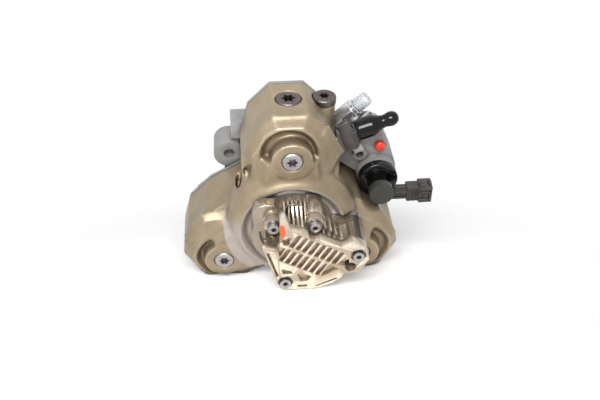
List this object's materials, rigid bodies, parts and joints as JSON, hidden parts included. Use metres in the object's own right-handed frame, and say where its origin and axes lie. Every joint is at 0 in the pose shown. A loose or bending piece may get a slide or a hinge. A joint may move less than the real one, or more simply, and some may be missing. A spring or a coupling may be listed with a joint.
{
  "type": "diesel injection pump",
  "caption": "Radial common-rail diesel injection pump with forged heads, a ribbed gear pump on its back, a metering valve, fuel fittings and a tapered drive shaft.",
  "frame": {"origin": "centre of the circle of mounting holes, on the front mounting face", "axes": "+Y along the drive shaft, out of the pump at its driven end; +Z through the first head; +X to the right when seen from the gear pump"},
  "size_m": [0.2305, 0.1907, 0.1856],
  "materials": {
    "black_plastic": "moulded, satin to gloss",
    "black_rubber": "glossy",
    "bronze": "bearing bronze",
    "clear_plastic": "clear, thin",
    "contact_tin": "tin plated",
    "cover_metal": "die-cast, satin, warm nickel tone",
    "dark_steel": "phosphated, dark",
    "gold_steel": "gold-passivated forging, satin",
    "grey_iron": "light grey casting, satin",
    "olive_steel": "olive-grey coating",
    "red_plastic": "moulded, shiny",
    "screw_steel": "zinc plated",
    "seal_rubber": "matt",
    "steel": "ground and machined"
  },
  "bodies": {
    "pump": {"axial_plugs": "screw_steel", "connector_pins": "contact_tin", "cover_screws": "screw_steel", "delivery_springs": "steel", "delivery_union": "screw_steel", "flange_screws": "screw_steel", "front_bush": "bronze", "front_flange": "grey_iron", "gear_pump_cover": "cover_metal", "gear_pump_plate": "steel", "idler_pin": "steel", "inlet_valves": "steel", "overflow_plug": "screw_steel", "overflow_spring": "steel", "plunger_spring_1": "steel", "plunger_spring_2": "steel", "plunger_spring_3": "steel", "pump_housing": "gold_steel", "radial_plugs": "dark_steel", "rear_bush": "bronze", "shaft_seal": "seal_rubber", "side_plug": "dark_steel", "spool_spring": "steel", "supply_fitting": "screw_steel", "thrust_washers": "bronze", "valve_body": "olive_steel", "valve_flange": "black_plastic", "valve_screws": "screw_steel"},
    "shaft": {"drive_shaft": "steel", "shaft_key": "steel", "drive_gear": "steel"},
    "ring": {"polygon_ring": "steel", "ring_bush": "bronze"},
    "pump_gear": {"driven_gear": "steel"},
    "clear_cap_body": {"clear_cap": "clear_plastic"},
    "supply_cap_body": {"supply_cap": "black_rubber"},
    "red_plug_body": {"red_plug": "red_plastic"},
    "tappet_set_1": {"tappet_1": "steel", "plunger_1": "steel", "spring_retainer_1": "steel"},
    "tappet_set_2": {"tappet_2": "steel", "plunger_2": "steel", "spring_retainer_2": "steel"},
    "tappet_set_3": {"tappet_3": "steel", "plunger_3": "steel", "spring_retainer_3": "steel"},
    "poppet_1": {"inlet_poppet_1": "steel"},
    "poppet_2": {"inlet_poppet_2": "steel"},
    "poppet_3": {"inlet_poppet_3": "steel"},
    "ball_1": {"delivery_ball_1": "steel"},
    "ball_2": {"delivery_ball_2": "steel"},
    "ball_3": {"delivery_ball_3": "steel"},
    "spool_body": {"metering_spool": "steel"},
    "overflow_body": {"overflow_piston": "steel"}
  },
  "joints": [
    {"name": "shaft_spin", "type": "hinge", "parent": "pump", "child": "shaft", "pos_m": [0, 0, 0], "axis": [0, 1, 0], "continuous": true},
    {"name": "ring_orbit", "type": "hinge", "parent": "shaft", "child": "ring", "pos_m": [0, 0, -0.0045], "axis": [0, 1, 0], "continuous": true},
    {"name": "pump_gear_spin", "type": "hinge", "parent": "pump", "child": "pump_gear", "pos_m": [0.02335, -0.109, -0.0085], "axis": [0, 1, 0], "continuous": true},
    {"name": "tappet_slide_1", "type": "slide", "parent": "pump", "child": "tappet_set_1", "axis": [0, 0, 1], "range_m": [-0.0044, 0]},
    {"name": "tappet_slide_2", "type": "slide", "parent": "pump", "child": "tappet_set_2", "axis": [-0.866, 0, 0.5], "range_m": [0, 0.0022]},
    {"name": "tappet_slide_3", "type": "slide", "parent": "pump", "child": "tappet_set_3", "axis": [0.866, 0, 0.5], "range_m": [0, 0.0022]},
    {"name": "inlet_poppet_lift_1", "type": "slide", "parent": "pump", "child": "poppet_1", "axis": [0, 0, 1], "range_m": [0, 0.0015]},
    {"name": "inlet_poppet_lift_2", "type": "slide", "parent": "pump", "child": "poppet_2", "axis": [0.866, 0, -0.5], "range_m": [0, 0.0015]},
    {"name": "inlet_poppet_lift_3", "type": "slide", "parent": "pump", "child": "poppet_3", "axis": [-0.866, 0, -0.5], "range_m": [0, 0.0015]},
    {"name": "delivery_ball_lift_1", "type": "slide", "parent": "pump", "child": "ball_1", "axis": [0, -1, 0], "range_m": [0, 0.0008]},
    {"name": "delivery_ball_lift_2", "type": "slide", "parent": "pump", "child": "ball_2", "axis": [0, -1, 0], "range_m": [0, 0.0008]},
    {"name": "delivery_ball_lift_3", "type": "slide", "parent": "pump", "child": "ball_3", "axis": [0, -1, 0], "range_m": [0, 0.0008]},
    {"name": "spool_slide", "type": "slide", "parent": "pump", "child": "spool_body", "axis": [0, -1, 0], "range_m": [0, 0.003]},
    {"name": "overflow_slide", "type": "slide", "parent": "pump", "child": "overflow_body", "axis": [0, -1, 0], "range_m": [0, 0.0018]},
    {"name": "clear_cap_pull", "type": "slide", "parent": "pump", "child": "clear_cap_body", "axis": [0.722, 0, 0.6919], "range_m": [0, 0.018]},
    {"name": "supply_cap_pull", "type": "slide", "parent": "pump", "child": "supply_cap_body", "axis": [0.9349, 0, 0.355], "range_m": [0, 0.026]},
    {"name": "red_plug_pull", "type": "slide", "parent": "pump", "child": "red_plug_body", "axis": [0, -1, 0], "range_m": [0, 0.012]}
  ],
  "couplings": [
    {"joint": "ring_orbit", "follows": "shaft_spin", "ratio": -1},
    {"joint": "pump_gear_spin", "follows": "shaft_spin", "ratio": -1}
  ]
}
